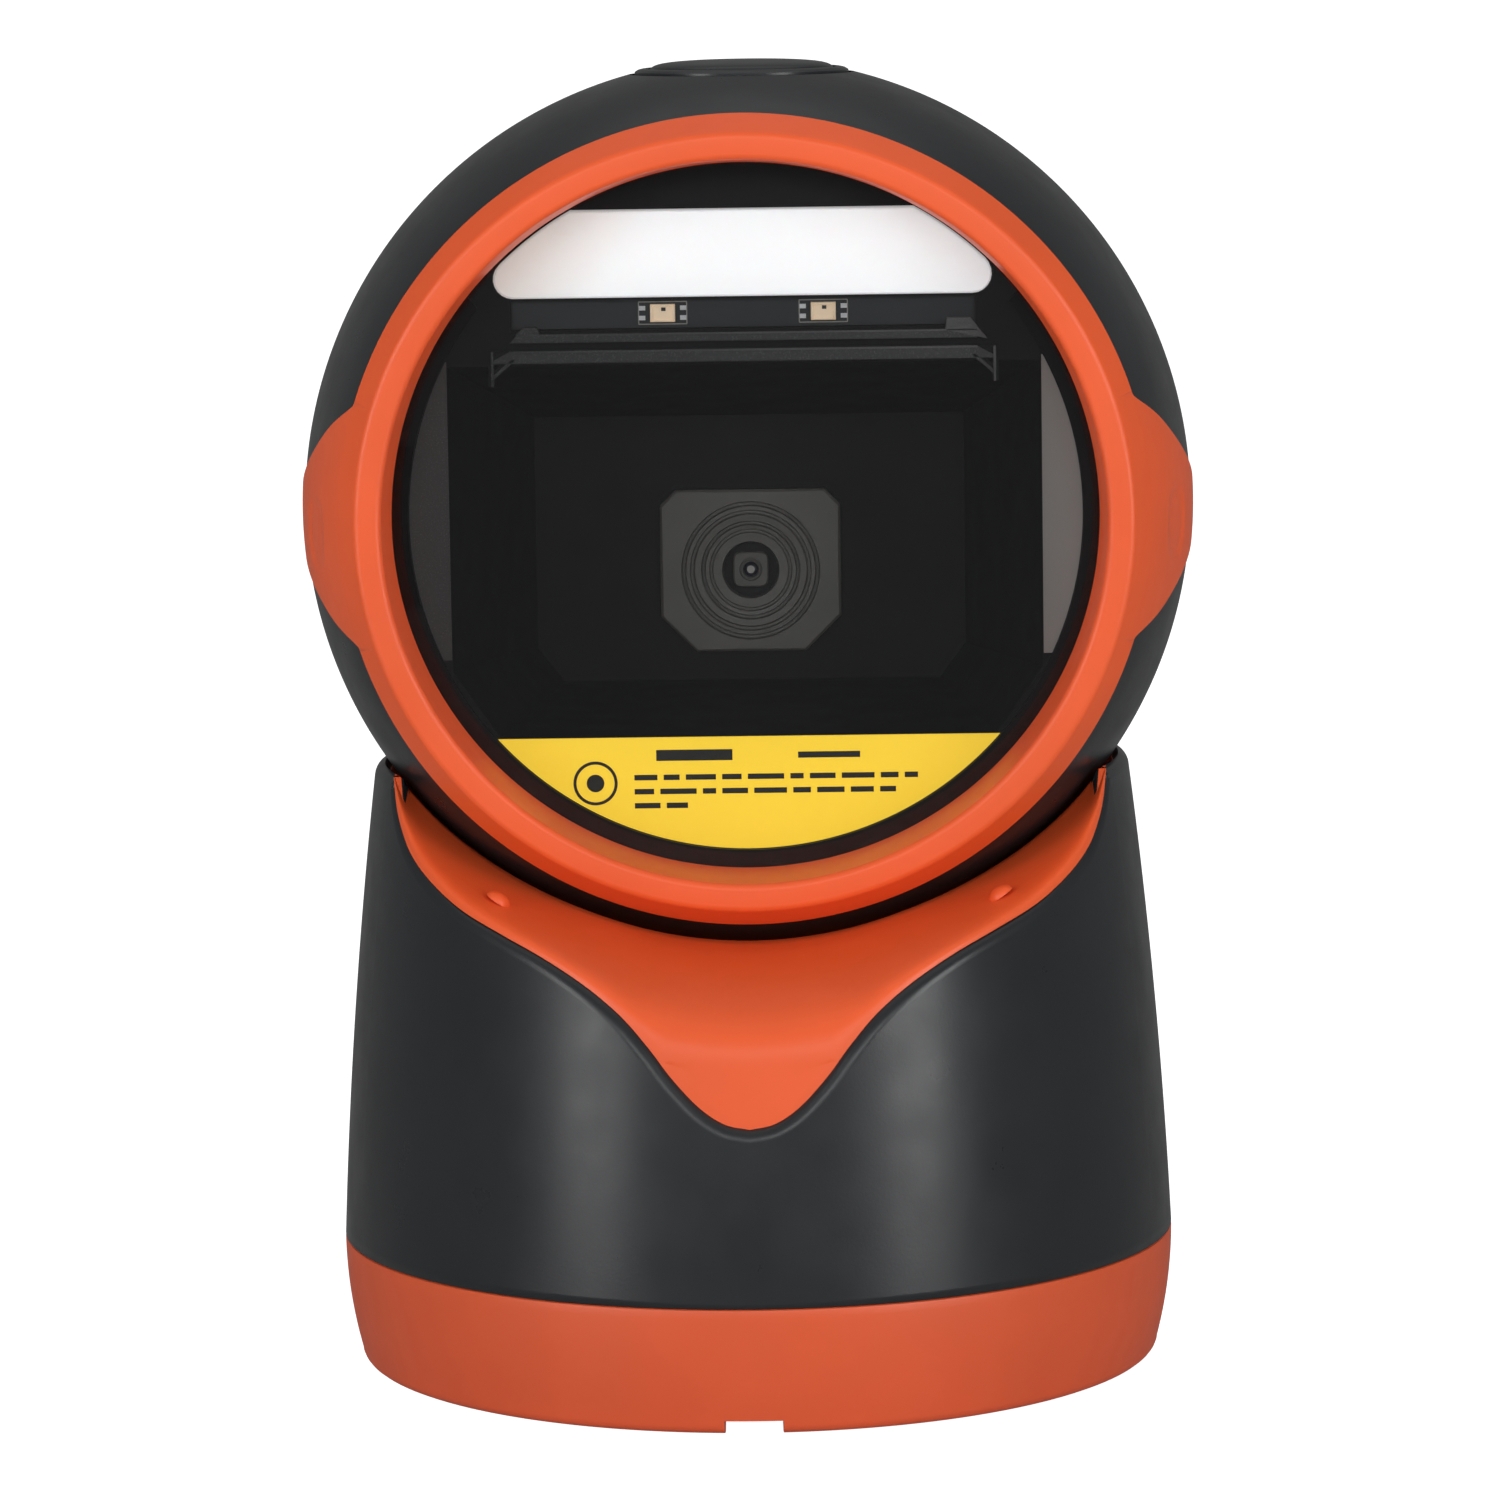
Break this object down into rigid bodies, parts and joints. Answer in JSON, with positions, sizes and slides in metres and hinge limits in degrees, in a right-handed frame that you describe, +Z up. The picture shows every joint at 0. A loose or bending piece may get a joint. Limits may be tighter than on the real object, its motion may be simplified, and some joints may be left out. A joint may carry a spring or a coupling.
{
  "type": "desktop barcode scanner",
  "caption": "Hands-free desktop barcode scanner: a ball head with a round framed window and top button tilts in the dished cradle of a weighted round base.",
  "frame": {"origin": "centre of the rubber foot, on the surface the scanner stands on", "axes": "+Z up, -Y the way the window faces, +X to the right seen from the front"},
  "size_m": [0.1018, 0.0985, 0.1489],
  "materials": {
    "black_shell": "satin moulded",
    "orange_gloss": "satin moulded",
    "inner_black": "matt moulded",
    "grey_plate": "fine texture",
    "window": "clear",
    "mask_black": "printed",
    "diffuser": "frosted",
    "yellow": "satin film",
    "circuit_board": "solder mask",
    "black_board": "solder mask",
    "led": "satin",
    "chip": "moulded",
    "socket": "moulded",
    "rubber": "matt",
    "felt": "felt",
    "steel": "zinc plated",
    "brass": "plated",
    "lens_glass": "coated"
  },
  "bodies": {
    "base": {"base_shell": "black_shell", "base_ring": "orange_gloss", "cradle": "orange_gloss", "bottom_plate": "inner_black", "foot_pad": "rubber", "ballast_weight": "steel", "ballast_screws": "steel", "base_screws": "steel", "cradle_screws": "steel", "board_screws": "steel", "neck_post": "steel", "clamp_shoe": "inner_black", "clamp_nut": "steel", "clamp_spring": "steel", "friction_pad": "felt", "data_jack": "inner_black", "jack_contacts": "brass", "jack_board": "circuit_board", "board_chips": "chip", "lead_socket": "socket", "buzzer": "chip", "base_lead": "rubber"},
    "head": {"head_front": "black_shell", "head_rear": "black_shell", "rear_screws": "steel", "bezel": "orange_gloss", "window_pane": "window", "window_mask": "mask_black", "optical_frame": "inner_black", "label_plate": "yellow", "side_flats": "grey_plate", "diffuser_bar": "diffuser", "light_board": "circuit_board", "white_leds": "led", "led_board": "black_board", "indicator_leds": "led", "led_pads": "brass", "camera_plate": "grey_plate", "lens_barrel": "inner_black", "lens": "lens_glass", "camera_board": "circuit_board", "image_sensor": "chip", "main_board": "circuit_board", "decoder_chips": "chip", "board_sockets": "socket", "camera_screws": "steel", "main_screws": "steel", "button_bezel": "black_shell", "switch_board": "circuit_board", "top_switch": "inner_black", "switch_screws": "steel"},
    "button": {"trigger_button": "black_shell"}
  },
  "joints": [
    {"name": "head_tilt", "type": "hinge", "parent": "base", "child": "head", "pos_m": [0, 0, 0.0984], "axis": [-1, 0, 0], "range_deg": [-10, 20]},
    {"name": "button_press", "type": "slide", "parent": "head", "child": "button", "axis": [0, 0, -1], "range_m": [0, 0.0006], "stiffness_N_per_m": 600, "springref_m": -0.002}
  ]
}
